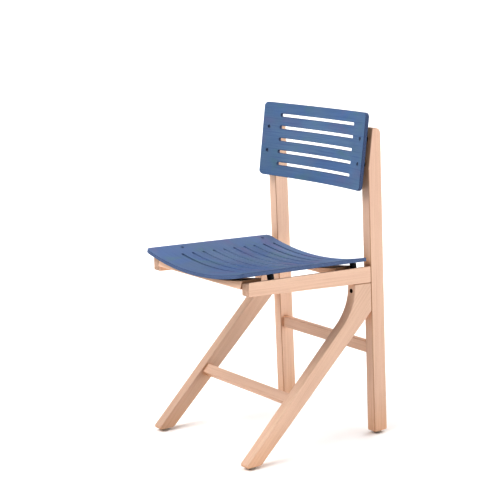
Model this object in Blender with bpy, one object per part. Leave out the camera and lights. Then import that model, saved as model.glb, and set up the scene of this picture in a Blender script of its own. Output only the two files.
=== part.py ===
"""Wooden side chair with a bent slotted seat and backrest on a two-sided timber frame.

Metres, +Z up, floor at Z = 0, front of the chair towards -Y, the sitter's left is +X.
Each side frame is a rear post, a seat rail and a diagonal front leg. Two cross rails under
the seat and two stretchers lower down join the side frames. The seat and backrest are bent
plywood panels held off the frame on short rubber spacers.
"""
import math

import bmesh
import bpy
from mathutils import Matrix, Vector

# ---------------------------------------------------------------- driving dimensions
GAP = 0.0003                 # clearance left between pieces that touch
SIDES = (("left", 1), ("right", -1))
ROUND = 16                   # sides of a screw, spacer or glide
SMALL_ROUND = 12             # sides of a dowel or nail
SMOOTH_ANGLE = math.radians(35)

# timber frame
FRAME_WIDTH = 0.400          # over the outer faces of the two side frames
MEMBER_THICK = 0.027         # sideways thickness of posts, rails and legs
SIDE_X = (FRAME_WIDTH - MEMBER_THICK) / 2
INNER_X = FRAME_WIDTH / 2 - MEMBER_THICK
EDGE_CHAMFER = 0.0015        # broken edges of the timber
FOOT_CHAMFER = 0.002

# rear post
POST_FRONT_Y = 0.1957        # front face carried down to the floor
POST_LEAN = 0.040            # forward lean, metres per metre of height
POST_TILT = math.atan(POST_LEAN)
POST_DEPTH = 0.0434
POST_TOP_Z = 0.802
POST_CUT_Z = 0.700           # front face slopes back above this height
POST_TOP_RADIUS = 0.015
POST_TOP_STEPS = 6
BACK_TILT = math.radians(7.0)

# seat rail, tapering towards the front
RAIL_FRONT_Y = -0.2135
RAIL_TOP_Z = 0.4540          # height of the inner top edge at Y = 0
RAIL_TOP_SLOPE = 0.040       # falls towards the back
RAIL_BOTTOM_Z = 0.4206
RAIL_BOTTOM_SLOPE = 0.061
SEAT_TILT = math.atan(RAIL_TOP_SLOPE)

# diagonal front leg
LEG_BACK_Y = -0.1875         # rear edge line carried down to the floor
LEG_BACK_RUN = 1.100         # metres back per metre up
LEG_FRONT_Y = -0.2403
LEG_FRONT_RUN = 1.041
LEG_TILT = math.atan(LEG_FRONT_RUN)
LEG_HEAD_Y = 0.1236          # upright front face just below the rail
LEG_BEND_RADIUS = 0.128
LEG_BEND_STEPS = 8
TOE_CUT = 0.009              # upright cut across the leg's sharp toe

# cross rails: wide slats between the seat rails, hollowed on top to clear the seat
CROSS_WIDTH = 0.056
CROSS_BOTTOM = -0.0148       # from the rail's inner top edge
CROSS_END_TOP = 0.0071
CROSS_MID_TOP = -0.0082
CROSS_STEPS = 14
CROSS_Y = (("front", RAIL_FRONT_Y + CROSS_WIDTH / 2), ("rear", 0.111))
CROSS_HALF_SPAN = INNER_X - GAP

# stretchers
STRETCHER_THICK = 0.018
FRONT_STRETCHER_DEEP = 0.027
FRONT_STRETCHER_AT = (-0.0684, 0.1432)
REAR_STRETCHER_DEEP = 0.0295
REAR_STRETCHER_AT = (0.2030, 0.2305)
TENON_THICK = 0.010
TENON_LENGTH = 0.015
TENON_SHOULDER = 0.004       # shoulder above and below the tenon

# bent panels
PANEL_THICK = 0.0095
PANEL_CORNER = 0.012
PANEL_STEPS = 5              # stations from the middle to the straight end of a slot
CORNER_STEPS = 3             # stations round a slot's end or a panel's corner
SLOT_WIDTH = 0.008
SLOT_END = 0.146             # from the middle to a slot's tip
SEAT_WIDTH = 0.404
SEAT_DEPTH = 0.405
SEAT_RADIUS = 0.780
SEAT_CENTRE = (0.0, -0.0359, 0.4594)
SEAT_SLOTS = 10
SEAT_SLOT_PITCH = 0.0335
SEAT_FIRST_SLOT = 0.075      # from the front edge
BACK_WIDTH = 0.405
BACK_HEIGHT = 0.195
BACK_RADIUS = 0.720
BACK_CENTRE = (0.0, 0.1748, 0.7423)
BACK_SLOTS = 5
BACK_SLOT_PITCH = 0.0323
BACK_SLOT_RISE = 0.0009      # middle slot above the panel's middle

# panel fixings
SEAT_FIXING_U = 0.183        # from the middle, along the seat's curve
SEAT_FIXING_V = (-0.1004, 0.1662)    # back from the middle, along the panel
SEAT_SPLAY = SEAT_FIXING_U / SEAT_RADIUS     # lean of the seat's screws and spacers
RAIL_BEVEL = math.atan(math.tan(SEAT_SPLAY) / math.cos(SEAT_TILT))
BACK_FIXING_X = 0.1795
BACK_FIXING_RISE = (-0.031, 0.032)   # along the panel from its middle
SPACER_RADIUS = 0.008
SCREW_RADIUS = 0.0022
SCREW_HEAD_RADIUS = 0.0040
SCREW_HEAD_DEEP = 0.0024
SCREW_SOCKET = 0.0016
SCREW_LENGTH = 0.044
SCREW_SINK = 0.0036          # head seat below the panel's hollow face
SCREW_MOUTH = 0.0030         # how far the head's drill runs past that face
POINT_RATIO = 0.45           # tip radius of a screw over its shank radius

# bolts through the legs' heads into threaded inserts in the posts
BOLT_Z = 0.3912
BOLT_RADIUS = 0.0030
BOLT_HEAD_RADIUS = 0.0048
BOLT_HEAD_DEEP = 0.006
BOLT_SOCKET = 0.0024
BOLT_HOLE_RADIUS = 0.0055
BOLT_SINK = 0.014
INSERT_RADIUS = 0.0050
INSERT_LENGTH = 0.016

# dowels
DOWEL_RADIUS = 0.004
DOWEL_NOSE = 0.001
RAIL_DOWEL_LENGTH = 0.040
RAIL_DOWEL_OFFSETS = (-0.008, 0.008)
CROSS_DOWEL_LENGTH = 0.030
CROSS_DOWEL_DROP = 0.0075
CROSS_DOWEL_OFFSETS = (-0.018, 0.006)   # clear of the seat screws

# feet
GLIDE_RADIUS = 0.010
GLIDE_THICK = 0.0065
GLIDE_EDGE = 0.0015
FOOT_Y = (("front", -0.2015, "front_leg"), ("rear", 0.2170, "rear_post"))
NAIL_RADIUS = 0.0013
NAIL_HEAD_RADIUS = 0.0032
NAIL_HEAD_DEEP = 0.0010
NAIL_RECESS = 0.0040
NAIL_LENGTH = 0.022
NAIL_POINT = 0.003
WOOD_Z = GLIDE_THICK + GAP   # the timber ends just above the glides

MATERIALS = {}
HOSTS = {}                   # pieces that are bored, by name
BORES = {}                   # world-space solids to bore out of each of them
MESHES = {}                  # meshes shared by repeated pieces


# ---------------------------------------------------------------- scene and materials
def clear_scene():
    for obj in list(bpy.data.objects):
        bpy.data.objects.remove(obj, do_unlink=True)


def material(name, colour, roughness, metallic=0.0):
    mat = bpy.data.materials.new(name)
    mat.use_nodes = True
    shader = mat.node_tree.nodes["Principled BSDF"]
    shader.inputs["Base Color"].default_value = (*colour, 1.0)
    shader.inputs["Roughness"].default_value = roughness
    shader.inputs["Metallic"].default_value = metallic
    MATERIALS[name] = mat


def make_materials():
    material("beech", (0.86, 0.64, 0.47), 0.5)
    material("blue_plywood", (0.10, 0.19, 0.40), 0.45)
    material("black_rubber", (0.02, 0.02, 0.02), 0.8)
    material("dark_steel", (0.06, 0.06, 0.065), 0.4, 1.0)
    material("glide_plastic", (0.05, 0.045, 0.04), 0.5)
    material("cutter", (1.0, 0.0, 0.0), 0.5)


# ---------------------------------------------------------------- solids: point and face lists
def loft(rings):
    """Closed solid through equal-length rings, capped at both ends."""
    count = len(rings[0])
    points = [Vector(p) for ring in rings for p in ring]
    faces = [tuple(reversed(range(count)))]
    for level in range(len(rings) - 1):
        low = level * count
        high = low + count
        for i in range(count):
            j = (i + 1) % count
            faces.append((low + i, low + j, high + j, high + i))
    top = (len(rings) - 1) * count
    faces.append(tuple(top + i for i in range(count)))
    return points, faces


def circle(radius, height, sides):
    return [(radius * math.cos(math.tau * i / sides), radius * math.sin(math.tau * i / sides),
             height) for i in range(sides)]


def turned(profile, sides=ROUND):
    """Solid of revolution about local Z from (height, radius) pairs, bottom to top."""
    return loft([circle(radius, height, sides) for height, radius in profile])


def turned_ring(profile, sides=ROUND):
    """Solid of revolution of a closed (height, radius) loop that stays off the axis."""
    points = [Vector(p) for height, radius in profile for p in circle(radius, height, sides)]
    faces = []
    for level in range(len(profile)):
        low = level * sides
        high = (level + 1) % len(profile) * sides
        for i in range(sides):
            j = (i + 1) % sides
            faces.append((low + i, low + j, high + j, high + i))
    return points, faces


def bar(sections):
    """Bar along X through rectangular sections given as (x, half depth, half height)."""
    corners = ((-1, -1), (1, -1), (1, 1), (-1, 1))
    return loft([[(x, sy * half_y, sz * half_z) for sy, sz in corners]
                 for x, half_y, half_z in sections])


def board(near, far, half_thick):
    """Board across X from the Y-Z outline `near` at -X to the outline `far` at +X."""
    return loft([[(x, y, z) for y, z in outline]
                 for x, outline in ((-half_thick, near), (half_thick, far))])


def moved(solid, matrix):
    points, faces = solid
    return [matrix @ p for p in points], faces


def turn_x(angle):
    return Matrix.Rotation(angle, 4, "X")


# ---------------------------------------------------------------- objects
def make_mesh(name, solids, mat):
    mesh = bpy.data.meshes.new(name)
    bm = bmesh.new()
    for points, faces in solids:
        verts = [bm.verts.new(p) for p in points]
        for face in faces:
            bm.faces.new([verts[i] for i in face])
    bmesh.ops.recalc_face_normals(bm, faces=bm.faces)
    bm.to_mesh(mesh)
    bm.free()
    mesh.materials.append(MATERIALS[mat])
    mesh.shade_smooth()
    mesh.set_sharp_from_angle(angle=SMOOTH_ANGLE)
    return mesh


def place(name, mesh, location=(0, 0, 0), rotation=(0, 0, 0)):
    obj = bpy.data.objects.new(name, mesh)
    obj.location = location
    obj.rotation_euler = rotation
    bpy.context.scene.collection.objects.link(obj)
    return obj


def add_host(name, solid, mat, location, rotation=(0, 0, 0)):
    """Add a piece that other pieces are let into."""
    HOSTS[name] = place(name, make_mesh(name, [solid], mat), location, rotation)
    BORES[name] = []
    return HOSTS[name]


def add_copy(name, kind, solid, mat, matrix):
    """Add one of several like pieces, which share the mesh named `kind`."""
    if kind not in MESHES:
        MESHES[kind] = make_mesh(kind, [solid], mat)
    obj = place(name, MESHES[kind])
    obj.matrix_world = matrix


def chamfer(obj):
    mod = obj.modifiers.new("broken_edges", "BEVEL")
    mod.width = EDGE_CHAMFER
    mod.segments = 1
    mod.limit_method = "ANGLE"
    mod.angle_limit = math.radians(30)


def cut_bores():
    """Subtract each host's bores from it."""
    for name, host in HOSTS.items():
        tool = place(f"{name}_bores", make_mesh(f"{name}_bores", BORES[name], "cutter"))
        tool.hide_render = True
        tool.display_type = "WIRE"
        mod = host.modifiers.new("bores", "BOOLEAN")
        mod.operation = "DIFFERENCE"
        mod.solver = "EXACT"
        mod.object = tool


# ---------------------------------------------------------------- lines of the side frame
def post_front(z):
    """Y of the post's lower front face at height z."""
    return POST_FRONT_Y - POST_LEAN * z


def cut_face(z):
    """Y of the post's sloping face above the cut."""
    return post_front(POST_CUT_Z) + math.tan(BACK_TILT) * (z - POST_CUT_Z)


def rail_top(y):
    return RAIL_TOP_Z - RAIL_TOP_SLOPE * y


def rail_bottom(y):
    return RAIL_BOTTOM_Z - RAIL_BOTTOM_SLOPE * y


def at_post(height, slope):
    """Where the line z = height - slope * y meets the post's front face, less the gap."""
    z = (height - slope * POST_FRONT_Y) / (1 - slope * POST_LEAN)
    return post_front(z) - GAP, z


def arc_points(centre, radius, start, end, steps):
    angles = [start + (end - start) * i / steps for i in range(steps + 1)]
    return [(centre[0] + radius * math.cos(a), centre[1] + radius * math.sin(a))
            for a in angles]


# ---------------------------------------------------------------- timber frame
def post_outline():
    foot = FOOT_CHAMFER
    front = post_front(WOOD_Z)
    back = front + POST_DEPTH
    radius = POST_TOP_RADIUS
    corner_z = POST_TOP_Z - radius
    corner = (post_front(corner_z) + POST_DEPTH - radius, corner_z)
    points = [(front - POST_LEAN * foot, WOOD_Z + foot), (front + foot, WOOD_Z),
              (back - foot, WOOD_Z), (back - POST_LEAN * foot, WOOD_Z + foot)]
    points += arc_points(corner, radius, POST_TILT, math.pi / 2, POST_TOP_STEPS)
    points.append((cut_face(POST_TOP_Z), POST_TOP_Z))
    points.append((post_front(POST_CUT_Z), POST_CUT_Z))
    return points


def rail_outline(rise):
    """Outline of a rail whose top edge is `rise` above the inner one."""
    return [(RAIL_FRONT_Y, rail_bottom(RAIL_FRONT_Y)),
            at_post(RAIL_BOTTOM_Z, RAIL_BOTTOM_SLOPE),
            at_post(RAIL_TOP_Z + rise, RAIL_TOP_SLOPE),
            (RAIL_FRONT_Y, rail_top(RAIL_FRONT_Y) + rise)]


def leg_outline():
    foot = FOOT_CHAMFER
    toe = LEG_FRONT_Y + LEG_FRONT_RUN * WOOD_Z + TOE_CUT
    heel = LEG_BACK_Y + LEG_BACK_RUN * WOOD_Z
    join_z = (POST_FRONT_Y - LEG_BACK_Y) / (LEG_BACK_RUN + POST_LEAN)
    head_z = rail_bottom(LEG_HEAD_Y) - GAP
    slope_normal = Vector((1.0, -LEG_FRONT_RUN)).normalized()
    bend_y = LEG_HEAD_Y - LEG_BEND_RADIUS
    touch = Vector((bend_y, 0.0)) + slope_normal * LEG_BEND_RADIUS
    bend_z = (touch.x - LEG_FRONT_Y) / LEG_FRONT_RUN - touch.y
    points = [(toe, WOOD_Z + TOE_CUT / LEG_FRONT_RUN), (toe, WOOD_Z + foot),
              (toe + foot, WOOD_Z), (heel - foot, WOOD_Z),
              (heel + LEG_BACK_RUN * foot, WOOD_Z + foot),
              (post_front(join_z) - GAP, join_z - GAP),
              at_post(RAIL_BOTTOM_Z - GAP, RAIL_BOTTOM_SLOPE), (LEG_HEAD_Y, head_z)]
    points += arc_points((bend_y, bend_z), LEG_BEND_RADIUS, 0.0, -LEG_TILT, LEG_BEND_STEPS)
    return points


def build_side_frames():
    """Posts, legs, and rails whose top faces rise outwards to follow the seat."""
    rise = MEMBER_THICK * math.tan(RAIL_BEVEL)
    post, leg = post_outline(), leg_outline()
    members = (("rear_post", post, post, (post_front(WOOD_Z), WOOD_Z)),
               ("side_rail", rail_outline(0.0), rail_outline(rise),
                (RAIL_FRONT_Y, rail_top(RAIL_FRONT_Y))),
               ("front_leg", leg, leg, (LEG_FRONT_Y, WOOD_Z)))
    for kind, inner, outer, (y0, z0) in members:
        local = [[(y - y0, z - z0) for y, z in outline] for outline in (inner, outer)]
        for side, sign in SIDES:
            solid = board(*local[::sign], MEMBER_THICK / 2)
            chamfer(add_host(f"{side}_{kind}", solid, "beech", (sign * SIDE_X, y0, z0)))


def build_cross_rails():
    outline = [(-CROSS_HALF_SPAN, CROSS_BOTTOM), (CROSS_HALF_SPAN, CROSS_BOTTOM)]
    for i in range(CROSS_STEPS + 1):
        across = 1 - 2 * i / CROSS_STEPS
        rise = (CROSS_END_TOP - CROSS_MID_TOP) * across ** 2
        outline.append((across * CROSS_HALF_SPAN, CROSS_MID_TOP + rise))
    solid = loft([[(x, y, z) for x, z in outline]
                  for y in (-CROSS_WIDTH / 2, CROSS_WIDTH / 2)])
    for end, y in CROSS_Y:
        add_host(f"{end}_cross_rail", solid, "beech", (0, y, rail_top(y)),
                 (-SEAT_TILT, 0, 0))


def build_stretcher(name, spot, deep, tilt, host):
    """Stretcher with a tenon at each end, and its mortises in both side frames."""
    shoulder = CROSS_HALF_SPAN
    tip = shoulder + TENON_LENGTH
    body = (STRETCHER_THICK / 2, deep / 2)
    tenon = (TENON_THICK / 2, deep / 2 - TENON_SHOULDER)
    solid = bar([(-tip, *tenon), (-shoulder, *tenon), (-shoulder, *body),
                 (shoulder, *body), (shoulder, *tenon), (tip, *tenon)])
    at = Matrix.Translation((0, *spot)) @ turn_x(tilt)
    place(name, make_mesh(name, [solid], "beech"), (0, *spot), (tilt, 0, 0))
    room = [half + GAP for half in tenon]
    for side, sign in SIDES:
        ends = sorted((sign * (shoulder - TENON_LENGTH), sign * (tip + GAP)))
        BORES[f"{side}_{host}"].append(moved(bar([(x, *room) for x in ends]), at))


# ---------------------------------------------------------------- dowels
def add_dowel(name, length, matrix, hosts):
    half = length / 2
    tip = DOWEL_RADIUS - DOWEL_NOSE
    solid = turned([(-half, tip), (DOWEL_NOSE - half, DOWEL_RADIUS),
                    (half - DOWEL_NOSE, DOWEL_RADIUS), (half, tip)], SMALL_ROUND)
    add_copy(name, f"dowel_{length * 1000:.0f}", solid, "beech", matrix)
    room = DOWEL_RADIUS + GAP
    bore = turned([(-half - GAP, room), (half + GAP, room)], SMALL_ROUND)
    for host in hosts:
        BORES[host].append(moved(bore, matrix))


def build_rail_dowels():
    """Two dowels hold each rail's rear end to its post."""
    low_z = at_post(RAIL_BOTTOM_Z, RAIL_BOTTOM_SLOPE)[1]
    high_z = at_post(RAIL_TOP_Z, RAIL_TOP_SLOPE)[1]
    for side, sign in SIDES:
        for number, offset in enumerate(RAIL_DOWEL_OFFSETS, 1):
            z = (low_z + high_z) / 2 + offset
            spot = (sign * SIDE_X, post_front(z) - GAP / 2, z)
            matrix = Matrix.Translation(spot) @ turn_x(POST_TILT - math.pi / 2)
            add_dowel(f"{side}_rail_dowel_{number}", RAIL_DOWEL_LENGTH, matrix,
                      (f"{side}_side_rail", f"{side}_rear_post"))


def build_cross_dowels():
    """Two dowels hold each end of a cross rail to the seat rail."""
    for end, centre_y in CROSS_Y:
        for side, sign in SIDES:
            for number, offset in enumerate(CROSS_DOWEL_OFFSETS, 1):
                y = centre_y + offset
                spot = (sign * (INNER_X - GAP / 2), y, rail_top(y) - CROSS_DOWEL_DROP)
                matrix = Matrix.Translation(spot) @ Matrix.Rotation(math.pi / 2, 4, "Y")
                add_dowel(f"{side}_{end}_cross_dowel_{number}", CROSS_DOWEL_LENGTH, matrix,
                          (f"{side}_side_rail", f"{end}_cross_rail"))


# ---------------------------------------------------------------- bent panels
def panel_columns(width, height):
    """Stations across a panel: (u, half height of the panel, half height of the slots)."""
    half_slot = SLOT_WIDTH / 2
    straight = SLOT_END - half_slot
    inner = width / 2 - PANEL_CORNER
    quarter = [math.sin(math.pi / 2 * i / CORNER_STEPS) for i in range(CORNER_STEPS + 1)]
    stations = {straight * i / PANEL_STEPS for i in range(PANEL_STEPS)}
    stations |= {straight + half_slot * s for s in quarter}
    stations |= {inner + PANEL_CORNER * s for s in quarter}
    stations.add((SLOT_END + inner) / 2)
    columns = []
    for u in sorted({sign * u for u in stations for sign in (-1, 1)}):
        over = max(0.0, abs(u) - inner)
        drop = PANEL_CORNER - math.sqrt(max(0.0, PANEL_CORNER ** 2 - over ** 2))
        past = abs(u) - straight
        opening = 0.0
        if past < half_slot * 0.999:
            opening = math.sqrt(half_slot ** 2 - max(0.0, past) ** 2)
        columns.append((u, height / 2 - drop, opening))
    return columns


def bent_panel(width, height, radius, slots):
    """Panel bent about its local Y axis, hollow side up, with slots running across it.

    Local Z = 0 is the lowest line of the hollow face. `slots` lists the slots' V positions.
    Each station is a row of (hollow face, outer face) point pairs up the panel.
    """
    columns = panel_columns(width, height)
    points = []
    faces = []

    def pair(u, v):
        angle = u / radius
        for r in (radius, radius + PANEL_THICK):
            points.append(Vector((r * math.sin(angle), v, radius - r * math.cos(angle))))
        return len(points) - 2, len(points) - 1

    def wall(a, b):
        faces.append((a[0], b[0], b[1], a[1]))

    rows = []
    for u, edge, opening in columns:
        row = [pair(u, -edge)]
        for v in slots:
            row.append(pair(u, v - opening))
            row.append(pair(u, v + opening) if opening else row[-1])
        row.append(pair(u, edge))
        rows.append(row)

    for c in range(len(columns) - 1):
        near, far = rows[c], rows[c + 1]
        for k in range(0, len(near), 2):
            faces.append((near[k][0], far[k][0], far[k + 1][0], near[k + 1][0]))
            faces.append((near[k + 1][1], far[k + 1][1], far[k][1], near[k][1]))
        wall(far[0], near[0])
        wall(near[-1], far[-1])
        if columns[c][2] or columns[c + 1][2]:
            for k in range(1, len(near) - 1, 2):
                wall(near[k], far[k])
                wall(far[k + 1], near[k + 1])
    for row in (rows[0], rows[-1]):
        for k in range(0, len(row), 2):
            wall(row[k], row[k + 1])
    return points, drop_repeats(faces)


def drop_repeats(faces):
    """Drop a face's repeated corners, where a slot closes to a point."""
    loops = [[p for i, p in enumerate(face) if p != face[i - 1]] for face in faces]
    return [loop for loop in loops if len(loop) > 2]


def build_panels():
    first = SEAT_FIRST_SLOT - SEAT_DEPTH / 2
    seat_slots = [first + SEAT_SLOT_PITCH * i for i in range(SEAT_SLOTS)]
    back_slots = [BACK_SLOT_RISE + BACK_SLOT_PITCH * (i - (BACK_SLOTS - 1) / 2)
                  for i in range(BACK_SLOTS)]
    add_host("seat_shell", bent_panel(SEAT_WIDTH, SEAT_DEPTH, SEAT_RADIUS, seat_slots),
             "blue_plywood", SEAT_CENTRE, (-SEAT_TILT, 0, 0))
    add_host("back_shell", bent_panel(BACK_WIDTH, BACK_HEIGHT, BACK_RADIUS, back_slots),
             "blue_plywood", BACK_CENTRE, (math.pi / 2 - BACK_TILT, 0, 0))


# ---------------------------------------------------------------- screws, bolts and spacers
def socket_screw(radius, head_radius, head_deep, length, socket):
    """Screw with its axis on local Z, head seat at Z = 0, shank running down."""
    tip = POINT_RATIO * radius
    socket_floor = head_deep * 0.4
    return turned([(-length, tip), (2 * radius - length, radius), (0.0, radius),
                   (0.0, head_radius), (head_deep * 0.6, head_radius),
                   (head_deep, head_radius * 0.8), (head_deep, socket),
                   (socket_floor, socket)])


def stepped_drill(radius, head_radius, depth, mouth):
    """Shank hole below the head's seat and a wider hole above it."""
    return turned([(-depth, radius), (-GAP, radius), (-GAP, head_radius),
                   (mouth, head_radius)])


def spacer(faces_gap):
    """Rubber tube on local Z between two parallel faces."""
    bore = SCREW_RADIUS + 2 * GAP
    return turned_ring([(GAP, bore), (GAP, SPACER_RADIUS),
                        (faces_gap - GAP, SPACER_RADIUS), (faces_gap - GAP, bore)])


def wedged_spacer(fixing_x, panel_radius, plane_gap):
    """Rubber tube on local Z whose top follows the sloping outer face of a bent panel.

    `plane_gap` is the distance from the spacer's base plane to the panel's Z = 0 plane.
    """
    points, faces = spacer(1.0)
    outer = panel_radius + PANEL_THICK
    for p in points:
        if p.z > 0.5:
            across = fixing_x + p.x
            p.z = plane_gap + panel_radius - math.sqrt(outer ** 2 - across ** 2) - GAP
    return points, faces


def add_fixing(panel, side, end, at, tube, hollow, host):
    """Spacer and screw. `at` has Z along the screw and its origin on the host's face, and
    `hollow` is the distance from there to the panel's hollow face."""
    screw = socket_screw(SCREW_RADIUS, SCREW_HEAD_RADIUS, SCREW_HEAD_DEEP, SCREW_LENGTH,
                         SCREW_SOCKET)
    drill = stepped_drill(SCREW_RADIUS + GAP, SCREW_HEAD_RADIUS + GAP, SCREW_LENGTH + GAP,
                          SCREW_SINK + SCREW_MOUTH)
    head = at @ Matrix.Translation((0, 0, hollow - SCREW_SINK))
    add_copy(f"{side}_{end}_{panel}_spacer", f"{panel}_spacer", tube, "black_rubber", at)
    add_copy(f"{side}_{end}_{panel}_screw", "panel_screw", screw, "dark_steel", head)
    for name in (f"{panel}_shell", f"{side}_{host}"):
        BORES[name].append(moved(drill, head))


def build_seat_fixings():
    """Screws square to the bent seat, through the middle of the rails' sloping tops."""
    slope = math.tan(RAIL_BEVEL)
    for side, sign in SIDES:
        for end, v in zip(("front", "rear"), SEAT_FIXING_V):
            hollow_face = (Matrix.Translation(SEAT_CENTRE) @ turn_x(-SEAT_TILT)
                           @ Matrix.Translation((0, v, SEAT_RADIUS))
                           @ Matrix.Rotation(-sign * SEAT_SPLAY, 4, "Y")
                           @ Matrix.Translation((0, 0, -SEAT_RADIUS)))
            spot, axis = hollow_face.translation, hollow_face.col[2]
            above = spot.z - rail_top(spot.y) - (sign * spot.x - INNER_X) * slope
            climb = axis.z + RAIL_TOP_SLOPE * axis.y - sign * axis.x * slope
            reach = above / climb
            at = hollow_face @ Matrix.Translation((0, 0, -reach))
            add_fixing("seat", side, end, at, spacer(reach - PANEL_THICK), reach, "side_rail")


def build_back_fixings():
    """Screws square to the posts' sloping faces."""
    plane_gap = (cut_face(BACK_CENTRE[2]) - BACK_CENTRE[1]) * math.cos(BACK_TILT)
    tube = wedged_spacer(BACK_FIXING_X, BACK_RADIUS, plane_gap)
    hollow = plane_gap + BACK_RADIUS - math.sqrt(BACK_RADIUS ** 2 - BACK_FIXING_X ** 2)
    for side, sign in SIDES:
        spin = Matrix.Rotation(0.0 if sign > 0 else math.pi, 4, "Z")
        for end, rise in zip(("lower", "upper"), BACK_FIXING_RISE):
            z = BACK_CENTRE[2] + rise * math.cos(BACK_TILT)
            at = (Matrix.Translation((sign * BACK_FIXING_X, cut_face(z), z))
                  @ turn_x(math.pi / 2 - BACK_TILT) @ spin)
            add_fixing("back", side, end, at, tube, hollow, "rear_post")


def build_leg_bolts():
    """A bolt through each leg's head, square to the post, and its insert in the post."""
    reach = (post_front(BOLT_Z) - LEG_HEAD_Y - BOLT_SINK) * math.cos(POST_TILT)
    bolt = socket_screw(BOLT_RADIUS, BOLT_HEAD_RADIUS, BOLT_HEAD_DEEP,
                        reach + INSERT_LENGTH - 2 * GAP, BOLT_SOCKET)
    drill = stepped_drill(BOLT_RADIUS + GAP, BOLT_HOLE_RADIUS, reach + INSERT_LENGTH,
                          2 * BOLT_SINK)
    bore = BOLT_RADIUS + GAP
    insert = turned_ring([(-INSERT_LENGTH, bore), (-INSERT_LENGTH, INSERT_RADIUS),
                          (-GAP, INSERT_RADIUS), (-GAP, bore)])
    pocket = turned([(-INSERT_LENGTH - GAP, INSERT_RADIUS + GAP),
                     (INSERT_LENGTH, INSERT_RADIUS + GAP)])
    for side, sign in SIDES:
        spot = (sign * SIDE_X, LEG_HEAD_Y + BOLT_SINK, BOLT_Z)
        head = Matrix.Translation(spot) @ turn_x(math.pi / 2 + POST_TILT)
        mouth = head @ Matrix.Translation((0, 0, -reach))
        add_copy(f"{side}_leg_bolt", "leg_bolt", bolt, "dark_steel", head)
        add_copy(f"{side}_leg_insert", "leg_insert", insert, "dark_steel", mouth)
        BORES[f"{side}_front_leg"].append(moved(drill, head))
        BORES[f"{side}_rear_post"].append(moved(pocket, mouth))


# ---------------------------------------------------------------- feet
def build_feet():
    """A nailed glide under each post and leg."""
    recess = NAIL_HEAD_RADIUS + GAP
    pin = NAIL_RADIUS + GAP
    glide = turned_ring([(0.0, recess), (0.0, GLIDE_RADIUS - GLIDE_EDGE),
                         (GLIDE_EDGE, GLIDE_RADIUS), (GLIDE_THICK, GLIDE_RADIUS),
                         (GLIDE_THICK, pin), (NAIL_RECESS, pin), (NAIL_RECESS, recess)])
    nail = turned([(-NAIL_HEAD_DEEP, NAIL_HEAD_RADIUS), (0.0, NAIL_HEAD_RADIUS),
                   (0.0, NAIL_RADIUS), (NAIL_LENGTH - NAIL_POINT, NAIL_RADIUS),
                   (NAIL_LENGTH, NAIL_RADIUS * POINT_RATIO)], SMALL_ROUND)
    bore = turned([(0.0, pin), (NAIL_LENGTH + GAP, pin)], SMALL_ROUND)
    for end, y, host in FOOT_Y:
        for side, sign in SIDES:
            at = Matrix.Translation((sign * SIDE_X, y, 0.0))
            seat = at @ Matrix.Translation((0, 0, NAIL_RECESS - GAP))
            add_copy(f"{side}_{end}_glide", "glide", glide, "glide_plastic", at)
            add_copy(f"{side}_{end}_glide_nail", "glide_nail", nail, "dark_steel", seat)
            BORES[f"{side}_{host}"].append(moved(bore, seat))


def main():
    clear_scene()
    make_materials()
    build_side_frames()
    build_cross_rails()
    build_stretcher("front_stretcher", FRONT_STRETCHER_AT, FRONT_STRETCHER_DEEP, -LEG_TILT,
                    "front_leg")
    build_stretcher("rear_stretcher", REAR_STRETCHER_AT, REAR_STRETCHER_DEEP, 0.0,
                    "rear_post")
    build_rail_dowels()
    build_cross_dowels()
    build_panels()
    build_seat_fixings()
    build_back_fixings()
    build_leg_bolts()
    build_feet()
    cut_bores()


main()
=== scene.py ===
"""Looks for the slotted side chair: fine meshes, procedural materials, light and camera.

Everything is in metres in the CAD's own frame: +Z up, floor at Z = 0, front towards -Y.
Timber is rebuilt from sections through the CAD solids, with rounded arrises. The bent
panels, spacers, screws, bolts and glides are rebuilt finely at the CAD's places.
"""
import math

import bmesh
import bpy
import numpy as np
from mathutils import Matrix, Vector


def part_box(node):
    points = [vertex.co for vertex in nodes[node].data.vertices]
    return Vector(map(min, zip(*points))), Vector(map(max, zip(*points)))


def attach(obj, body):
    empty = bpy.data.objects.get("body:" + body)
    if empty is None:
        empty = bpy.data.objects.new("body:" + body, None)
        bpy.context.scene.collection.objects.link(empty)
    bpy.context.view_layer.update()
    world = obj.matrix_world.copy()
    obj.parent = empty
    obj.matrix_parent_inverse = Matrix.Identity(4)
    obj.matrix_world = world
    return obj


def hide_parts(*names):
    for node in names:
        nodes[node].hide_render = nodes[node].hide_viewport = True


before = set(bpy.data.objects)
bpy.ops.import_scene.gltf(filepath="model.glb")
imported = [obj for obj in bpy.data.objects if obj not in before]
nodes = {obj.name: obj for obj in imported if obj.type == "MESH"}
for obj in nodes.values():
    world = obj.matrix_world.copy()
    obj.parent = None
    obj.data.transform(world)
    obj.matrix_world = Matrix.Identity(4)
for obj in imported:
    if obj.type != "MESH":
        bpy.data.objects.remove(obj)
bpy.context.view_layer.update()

BODY = "root"
CONTACT = 0.0008             # corners closer than this to another timber are jointed
JOINT_REACH = 0.0025         # arrises this close to another timber line its joint
GAP = 0.0003                 # play between a fixing and the piece that it passes through
SHARP_TURN = math.radians(32)    # an edge that turns by more than this is rounded

# timber
ARRIS = 0.0019               # radius of the timber's rounded edges
JOINT_ARRIS = 0.85           # share of that radius where two timbers meet
STRETCHER_ARRIS = 0.0016
ARRIS_STEPS = 3
SIDE_SHARES = (0.12, 0.88)   # where a side member is cut, clear of its bores
CROSS_SHARES = (0.36, 0.50)  # where a cross rail is cut, between its dowels
POST_SHARE = 0.85            # where the left post is cut to find its front face
BOLT_HOLE_RADIUS = 0.0055
BOLT_HOLE_REACH = 0.03       # how far its drill runs out from the bolt's head
END_FACING = 0.80            # cosine to the grain above which a face is end grain
TIMBER_LOOKS = ("beech", "beech_end", "beech_painted_joint_shade", "bore")
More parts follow.
